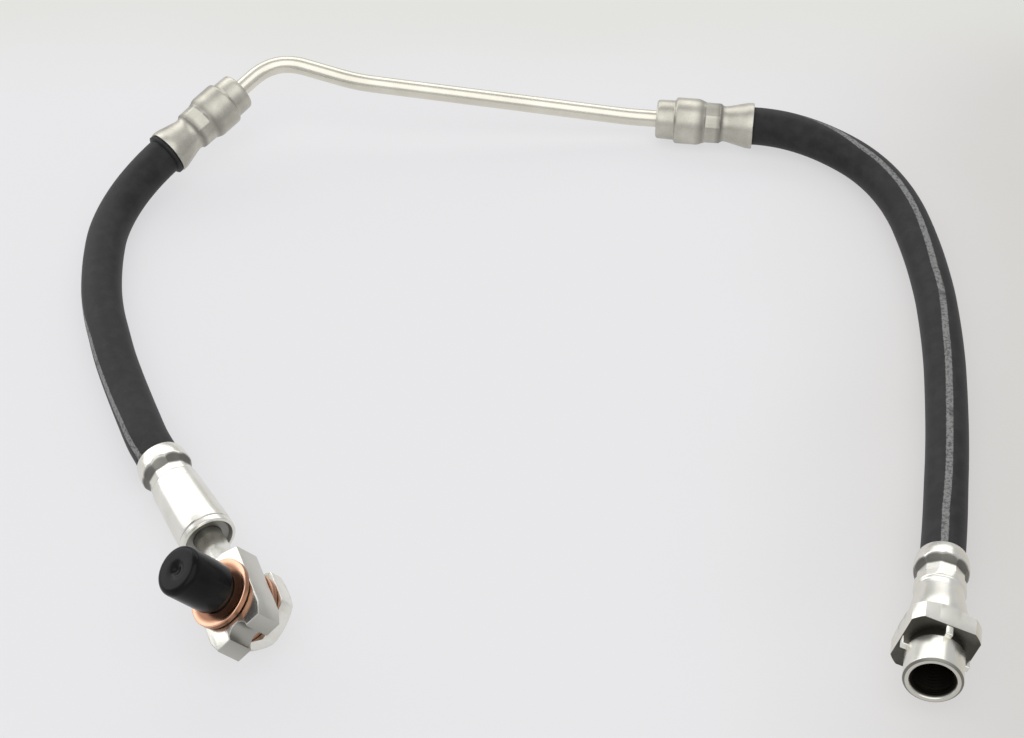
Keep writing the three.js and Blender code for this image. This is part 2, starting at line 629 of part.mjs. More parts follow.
const banjoGroup = fittingGroup(banjoEnd);
const banjoFerrule = socketFerrule(banjoSocket, banjoSocketInside, NECK_OD / 2 + GAP);
piece('banjo_ferrule', geometryOf(solid(banjoFerrule)), steel, banjoGroup);
const leftPipeGroup = fittingGroup(leftPipeEnd);
piece('left_pipe_ferrule', geometryOf(solid(pipeFerrule())), steel, leftPipeGroup);
piece('left_pipe_nipple', pipeNipple(), steel, leftPipeGroup);
const rightPipeGroup = fittingGroup(rightPipeEnd);
piece('right_pipe_ferrule', geometryOf(solid(pipeFerrule())), steel, rightPipeGroup);
piece('right_pipe_nipple', pipeNipple(), steel, rightPipeGroup);
const portGroup = fittingGroup(portEnd);
piece('port_ferrule', geometryOf(solid(socketFerrule(portSocket, portSocketInside, 0))), steel, portGroup);
piece('female_port', femaleFitting(), steel, portGroup);

const eye = eyeGroup();
piece('banjo_bolt', banjoBolt(), steel, eye);
piece('front_copper_washer', washer(1), copper, eye);
piece('rear_copper_washer', washer(-1), copper, eye);
piece('bolt_cap', boltCap(), vinyl, eye);

brakeHose.add(banjoGroup, leftPipeGroup, rightPipeGroup, portGroup, eye);
piece('banjo_fitting', banjoFitting(), steel, brakeHose);
piece('link_pipe', geometryOf(solid(linkPipe())), pipeSteel, brakeHose);
piece('left_hose', hose(
  banjoEnd, banjoSocketInside, SOCKET_HOSE_DEPTH, leftRoute,
  leftPipeEnd, pipeShellInside, PIPE_HOSE_DEPTH,
), rubber, brakeHose);
piece('right_hose', hose(
  rightPipeEnd, pipeShellInside, PIPE_HOSE_DEPTH, rightRoute,
  portEnd, portSocketInside, SOCKET_HOSE_DEPTH,
), rubber, brakeHose);

export default brakeHose;
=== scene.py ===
import math

import bmesh
import bpy
import numpy as np
from mathutils import Matrix, Vector


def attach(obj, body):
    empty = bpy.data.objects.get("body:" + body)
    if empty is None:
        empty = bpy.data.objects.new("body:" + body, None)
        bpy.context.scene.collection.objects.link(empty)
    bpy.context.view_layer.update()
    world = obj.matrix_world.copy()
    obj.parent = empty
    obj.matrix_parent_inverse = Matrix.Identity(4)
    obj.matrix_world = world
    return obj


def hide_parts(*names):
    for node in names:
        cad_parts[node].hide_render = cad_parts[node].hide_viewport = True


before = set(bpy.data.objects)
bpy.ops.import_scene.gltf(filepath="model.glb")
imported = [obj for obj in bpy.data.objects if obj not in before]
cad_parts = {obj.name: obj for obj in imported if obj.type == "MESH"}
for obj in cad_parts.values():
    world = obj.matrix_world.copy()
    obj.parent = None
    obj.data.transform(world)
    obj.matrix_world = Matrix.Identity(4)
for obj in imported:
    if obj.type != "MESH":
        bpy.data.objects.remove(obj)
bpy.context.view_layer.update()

# Camera. It stands in front of the brake line, half a metre off, and looks down on it at
# 45 degrees, as the photograph does.
scene = bpy.context.scene
camera = bpy.data.objects.new("camera", bpy.data.cameras.new("camera"))
camera.data.lens = 77.0
camera.data.clip_start = 0.01
camera.location = (-0.003, -0.3919, 0.39415)
camera.rotation_euler = (math.radians(45), 0, 0)
scene.collection.objects.link(camera)
scene.camera = camera
scene.view_settings.view_transform = "Standard"

# Hoses. Each is rubber over a braid and a liner, moulded as one and 10.5 mm thick, with a grey
# line printed along it that shows any twist. Its ends are squeezed onto the fittings' stems.
MM = 0.001
SHARP_ANGLE = math.radians(28)
HOSE_RADIUS = 5.25
HOSE_SIDES = 64
HOSE_STEP = 1.5
HOSE_LEAD = 2.5
HOSE_INSIDE = 3.0
HOSE_SQUEEZE = 0.24
RUBBER_LIP_LENGTH = 1.3
RUBBER_LIP_AT = (0, 0.12, 0.3, 0.7, 0.88, 1)
RUBBER_LIP_RADII = np.array([5.3, 5.85, 6.2, 6.2, 6.05, 5.6])
PRINTED_LINE_HALF_WIDTH = 0.85
PRINTED_LINE_BLUR = 0.12
OFF_THE_LINE = 30.0
RUBBER_BLACK = (0.017, 0.017, 0.018)
RUBBER_WORN = (0.031, 0.031, 0.032)
PRINTED_GREY = (0.27, 0.27, 0.265)


def fitting_frame(lip, along):
    """Carries a fitting's own x, y and s, in millimetres, to where it lies, in metres."""
    turn = Vector((0, 0, 1)).rotation_difference(Vector(along).normalized())
    return Matrix.Translation(Vector(lip) * MM) @ turn.to_matrix().to_4x4() @ Matrix.Scale(MM, 4)


banjo_end = fitting_frame((-87.5, -35.7, 6.8), (15.5, -27.1, 0))
left_pipe_end = fitting_frame((-97.7, 76.4, 10), (18.5, 18.6, 7.1))
right_pipe_end = fitting_frame((64.8, 92.4, 6.6), (-25.7, 3.1, 0))
port_end = fitting_frame((96, -66.7, 6.7), (-8.4, -39.9, 5.5))

left_route = [
    (-0.0913, -0.0287, 0.0066), (-0.0944, -0.0213, 0.0060), (-0.0974, -0.0139, 0.0055),
    (-0.1004, -0.0064, 0.0054), (-0.1032, 0.0011, 0.0054), (-0.1056, 0.0087, 0.0054),
    (-0.1079, 0.0164, 0.0054), (-0.1096, 0.0243, 0.0054), (-0.1106, 0.0322, 0.0054),
    (-0.1111, 0.0401, 0.0054), (-0.1110, 0.0481, 0.0054), (-0.1095, 0.0565, 0.0056),
    (-0.1066, 0.0641, 0.0066), (-0.1028, 0.0705, 0.0080),
]
right_route = [
    (0.0732, 0.0907, 0.0065), (0.0801, 0.0880, 0.0061), (0.0868, 0.0838, 0.0057),
    (0.0928, 0.0783, 0.0055), (0.0976, 0.0716, 0.0054), (0.1011, 0.0640, 0.0054),
    (0.1034, 0.0562, 0.0054), (0.1048, 0.0483, 0.0054), (0.1059, 0.0394, 0.0054),
    (0.1065, 0.0315, 0.0054), (0.1068, 0.0235, 0.0054), (0.1067, 0.0155, 0.0054),
    (0.1064, 0.0075, 0.0054), (0.1058, -0.0015, 0.0054), (0.1050, -0.0095, 0.0054),
    (0.1041, -0.0174, 0.0054), (0.1031, -0.0254, 0.0054), (0.1018, -0.0343, 0.0054),
    (0.1005, -0.0422, 0.0054), (0.0992, -0.0501, 0.0055), (0.0978, -0.0579, 0.0058),
]


def on_fitting(end, s):
    return np.array(end @ Vector((0, 0, s)))


def smooth_through(points, step):
    """The line through the points, eased at each of them, with a point about every step metres."""
    padded = [2 * points[0] - points[1], *points, 2 * points[-1] - points[-2]]
    fine = []
    for before, start, stop, after in zip(padded, padded[1:], padded[2:], padded[3:]):
        spans = [np.linalg.norm(b - a) ** 0.5 for a, b in ((before, start), (start, stop), (stop, after))]
        leaving = (start - before) / spans[0] - (stop - before) / (spans[0] + spans[1])
        leaving = leaving * spans[1] + stop - start
        arriving = (after - stop) / spans[2] - (after - start) / (spans[1] + spans[2])
        arriving = arriving * spans[1] + stop - start
        for t in np.linspace(0, 1, 24, endpoint=False):
            a, b = 2 * t**3 - 3 * t**2 + 1, t**3 - 2 * t**2 + t
            c, d = 3 * t**2 - 2 * t**3, t**3 - t**2
            fine.append(a * start + b * leaving + c * stop + d * arriving)
    return evenly(np.array([*fine, points[-1]]), step)


def lengths_along(path):
    return np.concatenate([[0], np.cumsum(np.linalg.norm(np.diff(path, axis=0), axis=1))])


def evenly(path, step):
    at = lengths_along(path)
    to = np.linspace(0, at[-1], math.ceil(at[-1] / step) + 1)
    return np.column_stack([np.interp(to, at, path[:, k]) for k in range(3)])


def tube(path, radii, sides):
    """Rings round a path, each from the top towards the right of the way that the path runs."""
    ahead = np.gradient(path, axis=0)
    ahead /= np.linalg.norm(ahead, axis=1)[:, None]
    top = np.array([0, 0, 1]) - ahead * ahead[:, 2:]
    top /= np.linalg.norm(top, axis=1)[:, None]
    right = np.cross(ahead, top)
    angle = np.arange(sides) * 2 * math.pi / sides
    out = np.cos(angle)[None, :, None] * top[:, None] + np.sin(angle)[None, :, None] * right[:, None]
    points = (path[:, None] + np.asarray(radii)[:, None, None] * out).reshape(-1, 3)
    rings = len(path)
    faces = [tuple(range(sides)), tuple((rings - 1) * sides + j for j in range(sides))]
    for i in range(rings - 1):
        for j in range(sides):
            k = (j + 1) % sides
            faces.append((i * sides + j, i * sides + k, (i + 1) * sides + k, (i + 1) * sides + j))
    return points, faces


def joined(*parts):
    """Points and faces of several closed shapes as one."""
    points, faces = [], []
    for more, more_faces in parts:
        start = sum(map(len, points))
        points.append(more)
        faces += [tuple(k + start for k in face) for face in more_faces]
    return np.vstack(points), faces


def make_piece(name, points, faces, finish, slot, nodes, **marks):
    """A piece in its place, with its finish, riding on the frame in place of its solids."""
    mesh = bpy.data.meshes.new(name)
    mesh.from_pydata(np.asarray(points).tolist(), [], faces)
    for mark, values in marks.items():
        mesh.attributes.new(mark, "FLOAT", "POINT").data.foreach_set("value", np.asarray(values, float))
    shape = bmesh.new()
    shape.from_mesh(mesh)
    bmesh.ops.remove_doubles(shape, verts=shape.verts, dist=1e-6)
    bmesh.ops.dissolve_degenerate(shape, edges=shape.edges, dist=1e-7)
    bmesh.ops.recalc_face_normals(shape, faces=shape.faces)
    shape.to_mesh(mesh)
    shape.free()
    mesh.shade_smooth()
    mesh.set_sharp_from_angle(angle=SHARP_ANGLE)
    mesh.materials.append(finish.material)
    piece = bpy.data.objects.new(name, mesh)
    scene.collection.objects.link(piece)
    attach(piece, "root")
    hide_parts(*nodes)
    return piece


class Value:
    """What a node in a finish gives; sums of these add the nodes that work them out."""

    def __init__(self, finish, socket):
        self.finish = finish
        self.socket = socket

    def maths(self, operation, first, second):
        return self.finish.node("ShaderNodeMath", {"operation": operation}, {0: first, 1: second})

    def __add__(self, other):
        return self.maths("ADD", self, other)

    def __sub__(self, other):
        return self.maths("SUBTRACT", self, other)

    def __rsub__(self, other):
        return self.maths("SUBTRACT", other, self)

    def __mul__(self, other):
        return self.maths("MULTIPLY", self, other)

    __radd__ = __add__


class Finish:
    """A material, with the nodes behind its colour, its roughness and its fine relief."""

    def __init__(self, name, **constants):
        self.material = bpy.data.materials.new(name)
        self.material.use_nodes = True
        self.nodes = self.material.node_tree.nodes
        self.links = self.material.node_tree.links
        self.surface = self.nodes["Principled BSDF"]
        for socket, value in constants.items():
            self.surface.inputs[socket.replace("_", " ")].default_value = value

    def node(self, kind, settings=None, inputs=None, output=0):
        made = self.nodes.new(kind)
        for setting, value in (settings or {}).items():
            setattr(made, setting, value)
        for socket, value in (inputs or {}).items():
            self.join(made.inputs[socket], value)
        return Value(self, made.outputs[output])

    def join(self, socket, value):
        if isinstance(value, Value):
            self.links.new(value.socket, socket)
        elif isinstance(value, tuple) and len(value) == 3 and len(socket.default_value) == 4:
            socket.default_value = (*value, 1)
        else:
            socket.default_value = value

    def place(self):
        return self.node("ShaderNodeTexCoord", output="Object")

    def mark(self, name):
        return self.node("ShaderNodeAttribute", {"attribute_name": name}, output="Fac")

    def noise(self, vector, per_metre, detail=3.0, roughness=0.55):
        return self.node("ShaderNodeTexNoise", None, {
            "Vector": vector, "Scale": per_metre, "Detail": detail, "Roughness": roughness,
        })

    def step(self, value, low, high):
        """0 below low, 1 above high, and eased between them."""
        return self.node("ShaderNodeMapRange", {"interpolation_type": "SMOOTHSTEP"}, {
            "Value": value, "From Min": low, "From Max": high,
        })

    def mix(self, share, first, second):
        return self.node("ShaderNodeMix", {"data_type": "RGBA"}, {
            "Factor": share, 6: first, 7: second,
        }, 2)

    def relief(self, height, depth):
        """Fine relief whose height is in millimetres for a height of 1."""
        normal = self.node("ShaderNodeBump", None, {"Height": height, "Distance": depth * MM})
        self.feed("Normal", normal)

    def feed(self, socket, value):
        self.join(self.surface.inputs[socket], value)


def hose_rubber(name):
    rubber = Finish(name, Specular_IOR_Level=0.26)
    place = rubber.place()
    mottling = rubber.noise(place, 260, 4)
    grain = rubber.noise(place, 2600, 3)
    ragged = rubber.noise(place, 1500, 2)
    across = rubber.mark("across")
    printed = 1 - rubber.step(
        across + (ragged - 0.5) * 0.45,
        PRINTED_LINE_HALF_WIDTH - PRINTED_LINE_BLUR, PRINTED_LINE_HALF_WIDTH + PRINTED_LINE_BLUR,
    )
    specks = rubber.step(rubber.noise(place, 1300, 5, 0.7), 0.40, 0.52)
    gaps = rubber.step(rubber.noise(place, 190, 3, 0.6), 0.33, 0.40)
    printed = printed * (0.35 + specks * 0.65) * (0.55 + gaps * 0.45) * rubber.mark("inked")
    bare = rubber.mix(rubber.step(mottling, 0.35, 0.7), RUBBER_BLACK, RUBBER_WORN)
    rubber.feed("Base Color", rubber.mix(printed, bare, PRINTED_GREY))
    rubber.feed("Roughness", 0.42 + mottling * 0.22)
    rubber.relief(grain * 0.6 + mottling * 0.8 + printed * 0.4, 0.05)
    return rubber


def make_hose(name, path_from, route, path_to, line_at, line_angles, inked, lipped=False):
    """One hose, with its printed line at an angle from the top that changes along it. Where it is
    lipped, its rubber stands out round it before the far ferrule."""
    points = [
        on_fitting(path_from, HOSE_INSIDE), on_fitting(path_from, 0), on_fitting(path_from, -HOSE_LEAD),
        *np.array(route),
        on_fitting(path_to, -HOSE_LEAD), on_fitting(path_to, 0), on_fitting(path_to, HOSE_INSIDE),
    ]
    path = smooth_through(points, HOSE_STEP * MM)
    at = lengths_along(path) / MM
    free = at[-1] - 2 * HOSE_INSIDE
    s = at - HOSE_INSIDE
    inside = np.maximum(0, np.maximum(-s, s - free))
    points, faces = tube(path, (HOSE_RADIUS - HOSE_SQUEEZE * inside) * MM, HOSE_SIDES)
    angle = np.arange(HOSE_SIDES) * 2 * math.pi / HOSE_SIDES
    line = np.radians(np.interp(s, line_at, line_angles))
    turn = angle[None] - line[:, None]
    across = (np.abs((turn + math.pi) % (2 * math.pi) - math.pi) * HOSE_RADIUS).ravel()
    ink = np.repeat(np.interp(s, *zip(*inked)), HOSE_SIDES)
    if lipped:
        lip_path = np.array([on_fitting(path_to, -RUBBER_LIP_LENGTH * (1 - t)) for t in RUBBER_LIP_AT])
        lip = tube(lip_path, RUBBER_LIP_RADII * MM, HOSE_SIDES)
        points, faces = joined((points, faces), lip)
        across = np.concatenate([across, np.full(len(lip[0]), OFF_THE_LINE)])
        ink = np.concatenate([ink, np.zeros(len(lip[0]))])
    piece = make_piece(
        name, points, faces, rubber, "hose_rubber", [name.replace("_tube", "")], across=across, inked=ink,
    )
    tuple(on_fitting(path_from, 0))


rubber = hose_rubber("hose_rubber")
make_hose(
    "left_hose_tube", banjo_end, left_route, left_pipe_end,
    [0, 5, 14, 22, 30, 46, 70, 120], [-59, -60, -62, -66, -67, -69, -95, -120],
    [(0, 1), (60, 1), (110, 0.6)], lipped=True,
)
make_hose(
    "right_hose_tube", right_pipe_end, right_route, port_end,
    [0, 10, 23, 32, 46, 65, 83, 93, 102, 108, 122, 140, 156, 169, 181],
    [-50, -34, -17, -2, -5, -8, -3, -7, -4, -1, -1, 1, 0, 5, 3],
    [(0, 0), (12, 0.1), (24, 1), (93, 1), (94.5, 0.35), (96, 1), (181, 1)],
)

# Pipe ferrules. A steel shell at each end of the pipe is pressed onto the hose by ten dies,
# which leave faint flats behind its waist, and is then plated to a dull satin.
TURNED_SIDES = 96
PIPE_RADIUS = 2.375
DIES = 10
OUTER_WALL_FROM = 4.4
PLATED_LIGHT = (0.86, 0.845, 0.785)
PLATED_SHADE = (0.75, 0.735, 0.665)
# Colours of painted shade: the darkened plate, and the black painted into an unlit bore.
PLATE_IN_SHADE = (0.08, 0.076, 0.066)
PAINTED_BORE_SHADE = (0.012, 0.010, 0.008)
SATIN_LIGHT = (0.64, 0.62, 0.545)
SATIN_SHADE = (0.42, 0.405, 0.35)


def rounded_off(outline, steps=3):
    """The closed outline of (s, radius, rounding) with each corner rounded."""
    rows = []
    for k, (s, r, rounding) in enumerate(outline):
        here = np.array([s, r], float)
        if not rounding:
            rows.append(here)
            continue
        before = np.array(outline[k - 1][:2]) - here
        after = np.array(outline[(k + 1) % len(outline)][:2]) - here
        back, on = np.linalg.norm(before), np.linalg.norm(after)
        reach = min(rounding, 0.45 * back, 0.45 * on)
        first, last = here + before / back * reach, here + after / on * reach
        for t in np.linspace(0, 1, steps + 1):
            rows.append((1 - t) ** 2 * first + 2 * t * (1 - t) * here + t * t * last)
    return rows


def divided(rows, step):
    """The closed outline with rows added where two lie further apart than step."""
    fine = []
    for k, row in enumerate(rows):
        following = rows[(k + 1) % len(rows)]
        count = max(1, math.ceil(np.linalg.norm(following - row) / step))
        fine += [row + (following - row) * t / count for t in range(count)]
    return fine


def turned(rows, sides, phase=0.0, pressed=None):
    """The points and faces of a closed outline turned about the fitting's axis. A row's s and
    radius may change round the axis, and pressed(s, angle, radius) may lower the radius."""
    angle = math.radians(phase) + np.arange(sides) * 2 * math.pi / sides
    points = []
    for s, r in rows:
        s, r = np.broadcast_to(s, sides), np.broadcast_to(r, sides)
        if pressed:
            r = pressed(s, angle, r)
        points.append(np.column_stack([r * np.cos(angle), r * np.sin(angle), s]))
    count = len(rows)
    faces = []
    for i in range(count):
        for j in range(sides):
            a, b, k = i * sides, (i + 1) % count * sides, (j + 1) % sides
            faces.append((a + j, a + k, b + k, b + j))
    return np.vstack(points), faces


def carried(points, end):
    turn = np.array(end)
    return points @ turn[:3, :3].T + turn[:3, 3]


def plated_metal(name, light, shade, roughness, rings=1.0, shade_colour=PLATE_IN_SHADE):
    """Bright metal with the fine rings of turning. Painted shade and painted reflection darken it where its
    mark of painted shade is up to 1, and where that mark is 2 it is painted black, as the shade deep in an
    unlit bore."""
    plate = Finish(name, Metallic=1.0)
    place = plate.place()
    along = plate.mark("along")
    shaded = plate.mark("shaded")
    cloud = plate.noise(place, 130, 3, 0.5)
    grain = plate.noise(place, 3200, 3)
    line = plate.node("ShaderNodeCombineXYZ", None, {"X": along})
    lathe = plate.node("ShaderNodeTexNoise", None, {"Vector": line, "Scale": 5.5, "Detail": 4.0})
    tone = plate.step(cloud * 0.7 + grain * 0.3, 0.3, 0.7)
    # Painted shade and painted reflection: the marked share of the colour goes to the shade colour.
    shade_share = shaded * (0.78 + cloud * 0.4)
    dark = plate.mix(shaded - 1, shade_colour, PAINTED_BORE_SHADE)
    plate.feed("Base Color", plate.mix(shade_share, plate.mix(tone, shade, light), dark))
    plate.feed("Roughness", roughness - 0.05 + cloud * 0.06 + grain * 0.06 + shaded * 0.2)
    plate.relief(lathe * rings + cloud * 0.8 + grain * 0.22, 0.014)
    return plate


steel = plated_metal("plated_steel", PLATED_LIGHT, PLATED_SHADE, 0.24)


def flats(radius_at, phase):
    """Presses a turned wall in by flat dies, whose distance from the axis depends on s."""
    sector = 2 * math.pi / DIES

    def pressed(s, angle, r):
        local = (angle - math.radians(phase) + sector / 2) % sector - sector / 2
        return np.where(r > OUTER_WALL_FROM, np.minimum(r, np.interp(s, *zip(*radius_at)) / np.cos(local)), r)

    return pressed


pipe_ferrule_outline = [
    (0, 6.4, 0.3), (1.5, 6.4, 0.8), (7.5, 4.95, 1.2), (8.5, 4.95, 0.5), (9.3, 5.65, 0.4), (13.7, 5.75, 0.6),
    (15.2, 6.45, 0.9), (21.7, 6.45, 0.5), (22.1, 5.55, 0.3), (27.2, 5.4, 0.9), (27.2, PIPE_RADIUS + 0.03, 0),
    (26.0, PIPE_RADIUS + 0.03, 0), (26.0, 4.5, 0), (21.0, 4.6, 0), (21.0, 5.55, 0), (15.2, 5.55, 0),
    (13.4, 4.3, 0), (9.9, 4.25, 0), (9.3, 4.05, 0), (6.4, 4.05, 0), (1.8, 5.5, 0), (0, 5.5, 0.15),
]
pipe_ferrule_dies = [(8.8, 6.7), (9.4, 5.34), (13.4, 5.4), (14.6, 6.8)]
# Painted shade and painted reflection, darker round the faces of the dies' flats at the crimp.
pipe_ferrule_shade = [
    (7.8, 0), (9.0, 0.5), (9.6, 0.5), (10.6, 0.08), (13.2, 0.08), (14.2, 0.45), (15.0, 0.3), (16.5, 0),
]
satin = plated_metal("satin_plate", SATIN_LIGHT, SATIN_SHADE, 0.36)
for side, end, phase in (("left", left_pipe_end, 10), ("right", right_pipe_end, 14)):
    rows = divided(rounded_off(pipe_ferrule_outline), 0.35)
    points, faces = turned(rows, TURNED_SIDES, pressed=flats(pipe_ferrule_dies, phase))
    s = points[:, 2]
    corners = np.interp(s, *zip(*pipe_ferrule_shade))
    make_piece(
        f"{side}_pipe_shell", carried(points, end), faces, satin, "plated_steel", [f"{side}_pipe_ferrule"],
        along=s, shaded=corners,
    )

# Link pipe. It is drawn and plated steel brake pipe with three bends, the first of them a tight
# one beside the left ferrule, and it is brazed into both ferrules.
PIPE_SIDES = 40
PIPE_STEP = 0.9
PIPE_LIGHT = (0.78, 0.75, 0.66)
PIPE_SHADE = (0.68, 0.65, 0.56)
pipe_corners = [
    on_fitting(left_pipe_end, 22.5), np.array((-0.0695, 0.1048, 0.0208)), np.array((-0.0465, 0.0985, 0.0174)),
    on_fitting(right_pipe_end, 35.2), on_fitting(right_pipe_end, 22.5),
]
pipe_radii = (0.014, 0.040, 0.040)


def bent(corners, radii):
    line = [corners[0]]
    for before, here, after, radius in zip(corners, corners[1:], corners[2:], radii):
        back, on = before - here, after - here
        back, on = back / np.linalg.norm(back), on / np.linalg.norm(on)
        reach = radius / math.tan(math.acos(np.clip(back @ on, -1, 1)) / 2)
        line += [
            here + back * reach * (1 - t) ** 2 + on * reach * t * t
            for t in np.linspace(0, 1, 24)
        ]
    return np.array([*line, corners[-1]])


drawn = plated_metal("pipe_steel", PIPE_LIGHT, PIPE_SHADE, 0.24, 0.1)
path = evenly(bent(pipe_corners, pipe_radii), PIPE_STEP * MM)
points, faces = tube(path, np.full(len(path), PIPE_RADIUS * MM), PIPE_SIDES)
make_piece(
    "bent_pipe", points, faces, drawn, "pipe_steel", ["link_pipe"],
    along=np.repeat(lengths_along(path) / MM, PIPE_SIDES),
)

# Hidden stems. The barbed stems that are brazed onto the pipe can't be seen from outside, and
# keep their solids.
for node in ("left_pipe_nipple", "right_pipe_nipple"):
    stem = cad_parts[node]
    stem.data.materials.clear()
    stem.data.materials.append(steel.material)

# Sockets. Both are turned steel cups, pressed in by dies behind a plain collar, so that
# scallops stand under the collar.
BANJO_SOCKET_LENGTH = 28.8
PORT_SOCKET_LENGTH = 23.2
END_LINE = 1.7


def socket_outline(length, waist, far_end):
    return [
        (0, 5.95, 0.25), (1.9, 6.4, 0.8), (6.2, 6.5, 0.5), (6.9, 6.0, 0.2), *waist,
        (length - 2 * END_LINE, 6.75, 1.2), *far_end, (length - 1.2, 5.6, 0), (12, 5.1, 0), (7.2, 4.9, 0),
        (6.4, 5.1, 0), (3.2, 5.5, 0), (0, 5.5, 0.1),
    ]


banjo_waist = [(9.0, 5.85, 0.8), (12.4, 6.1, 1.6)]
port_waist = [(8.9, 5.95, 0.15), (9.3, 6.1, 0.15), (11.4, 6.05, 0.3), (11.9, 5.7, 0.25), (13.2, 5.72, 0.8)]
banjo_far_end = [
    (BANJO_SOCKET_LENGTH - END_LINE - 0.25, 6.75, 0), (BANJO_SOCKET_LENGTH - END_LINE, 6.45, 0),
    (BANJO_SOCKET_LENGTH - END_LINE + 0.25, 6.75, 0), (BANJO_SOCKET_LENGTH, 6.7, 0.3),
    (BANJO_SOCKET_LENGTH, 5.9, 0.15), (BANJO_SOCKET_LENGTH - 1.0, 5.3, 0.1),
    (BANJO_SOCKET_LENGTH - 1.0, 3.6, 0), (BANJO_SOCKET_LENGTH - 1.2, 3.6, 0),
]
port_far_end = [(PORT_SOCKET_LENGTH, 6.75, 0.3), (PORT_SOCKET_LENGTH, 5.7, 0)]
socket_dies = [(3.6, 6.9), (4.2, 6.35), (6.4, 5.3), (8.9, 5.45), (9.1, 5.8), (11.6, 6.0), (13, 7)]
for name, end, length, waist, far_end, phase in (
    ("banjo", banjo_end, BANJO_SOCKET_LENGTH, banjo_waist, banjo_far_end, 30),
    ("port", port_end, PORT_SOCKET_LENGTH, port_waist, port_far_end, 30.6),
):
    rows = divided(rounded_off(socket_outline(length, waist, far_end)), 0.3)
    plain, faces = turned(rows, TURNED_SIDES)
    points, faces = turned(rows, TURNED_SIDES, pressed=flats(socket_dies, phase))
    s = points[:, 2]
    pressed_in = np.hypot(plain[:, 0], plain[:, 1]) - np.hypot(points[:, 0], points[:, 1])
    # Painted shade: the scallops' walls under the collar, the recess in the banjo socket's end and the groove
    # near its end are painted darker.
    scallop_shade = np.clip(pressed_in / 0.25, 0, 1) * np.clip((6.9 - s) / 0.5, 0, 1)
    recess_shade = (s > length - 1.1) & (np.hypot(points[:, 0], points[:, 1]) < 5.95)
    line = np.abs(s - length + END_LINE) < 0.1 if name == "banjo" else 0
    make_piece(
        f"{name}_socket", carried(points, end), faces, steel, "plated_steel", [f"{name}_ferrule"],
        along=s, shaded=np.maximum(scallop_shade * 0.9, np.maximum(recess_shade * 0.75, line)),
    )

# Female port. It is turned and milled from one square steel bar: a flange with turned-off corners,
# a boss with four keys that stop it turning in its bracket, and a bore with an M10x1 thread.
FLANGE_APOTHEM = 8.15
FLANGE_CORNER = 10.1
FLANGE_PHASE = 62.5
FLANGE_FROM = 23.5
FLANGE_TO = 29.7
GROOVE_TO = FLANGE_TO + 2.2
PORT_TO = 39.7
PORT_SIDES = 120
CHAMFER_INSET = 0.3
EDGE_ROUNDING = 0.12
KEY_HALF_WIDTH = 0.85
KEY_FROM_RADIUS = 5.8
KEY_TO_RADIUS = 7.95
KEY_LENGTH = 2.6
THREAD_PITCH = 1.0
THREAD_HEIGHT = 0.55


def flat_sides(sides, apothem, corner, low, high):
    """Rows of a bar with flat sides, whose corners are turned off, for points that start in the
    middle of a flat. Its low end has a chamfer of 30 degrees that starts inside the flats."""
    local = (np.arange(PORT_SIDES) / PORT_SIDES * sides + 0.5) % 1 - 0.5
    reach = np.minimum(apothem / np.cos(local * 2 * math.pi / sides), corner)
    face = apothem - CHAMFER_INSET
    drop = (reach - face) * math.tan(math.pi / 6)
    nearly = 0.85
    return [
        (low, face), (low + drop * nearly, face + (reach - face) * nearly),
        (low + drop + EDGE_ROUNDING, reach), (high - EDGE_ROUNDING, reach),
        (high - EDGE_ROUNDING / 4, reach - EDGE_ROUNDING / 4), (high, reach - EDGE_ROUNDING),
    ]


def block(low, high, rounding):
    """A box with rounded edges, as points and faces."""
    shape = bmesh.new()
    size = np.subtract(high, low)
    centre = np.add(low, high) / 2
    bmesh.ops.create_cube(shape, size=1, matrix=Matrix.Translation(centre) @ Matrix.Diagonal((*size, 1)))
    bmesh.ops.bevel(shape, geom=shape.edges[:], offset=rounding, segments=3, profile=0.5, affect="EDGES")
    made = np.array([v.co[:] for v in shape.verts]), [tuple(v.index for v in f.verts) for f in shape.faces]
    shape.free()
    return made


def turned_about(points, degrees):
    a = math.radians(degrees)
    spin = np.array([[math.cos(a), math.sin(a), 0], [-math.sin(a), math.cos(a), 0], [0, 0, 1]])
    return points @ spin


def threaded(low, high, mean, sides):
    """Rows of a thread between two heights, which fades out at both of its ends."""
    angle = np.arange(sides) / sides
    rows = []
    for s in np.arange(low, high, THREAD_PITCH / 10):
        wave = np.abs((s / THREAD_PITCH - angle) % 1 - 0.5) * 2
        fade = min(1, (s - low) / THREAD_PITCH, (high - s) / THREAD_PITCH)
        rows.append((s, mean + (wave - 0.5) * THREAD_HEIGHT * fade))
    return rows


port_front = rounded_off([
    (FLANGE_TO, 6.1, 0), (GROOVE_TO, 6.1, 0.1), (GROOVE_TO, 6.65, 0.3), (PORT_TO - 0.45, 6.65, 0.1),
    (PORT_TO, 6.15, 0.1), (PORT_TO, 5.3, 0.15), (PORT_TO - 0.9, 4.8, 0.1),
])
port_back = rounded_off([
    (27, 4.5, 0), (26.1, 2.1, 0), (25.1, 1.1, 0), (2, 1.1, 0), (2, 1.8, 0), (15.8, 1.8, 0), (15.8, 4.6, 0),
    (21.8, 5.3, 0), (21.8, 5.0, 0), (FLANGE_FROM, 5.0, 0),
])
rows = [*flat_sides(4, FLANGE_APOTHEM, FLANGE_CORNER, FLANGE_FROM, FLANGE_TO), *port_front]
rows += threaded(27.2, PORT_TO - 1.1, 4.55, PORT_SIDES)[::-1]
rows += port_back
body, body_faces = turned(rows, PORT_SIDES, FLANGE_PHASE)
key, key_faces = block(
    (KEY_FROM_RADIUS, -KEY_HALF_WIDTH, FLANGE_TO - 1),
    (KEY_TO_RADIUS, KEY_HALF_WIDTH, FLANGE_TO + KEY_LENGTH), 0.25,
)
keys = [(turned_about(key, FLANGE_PHASE + 90 * k), key_faces) for k in range(4)]
out, s = np.hypot(body[:, 0], body[:, 1]), body[:, 2]
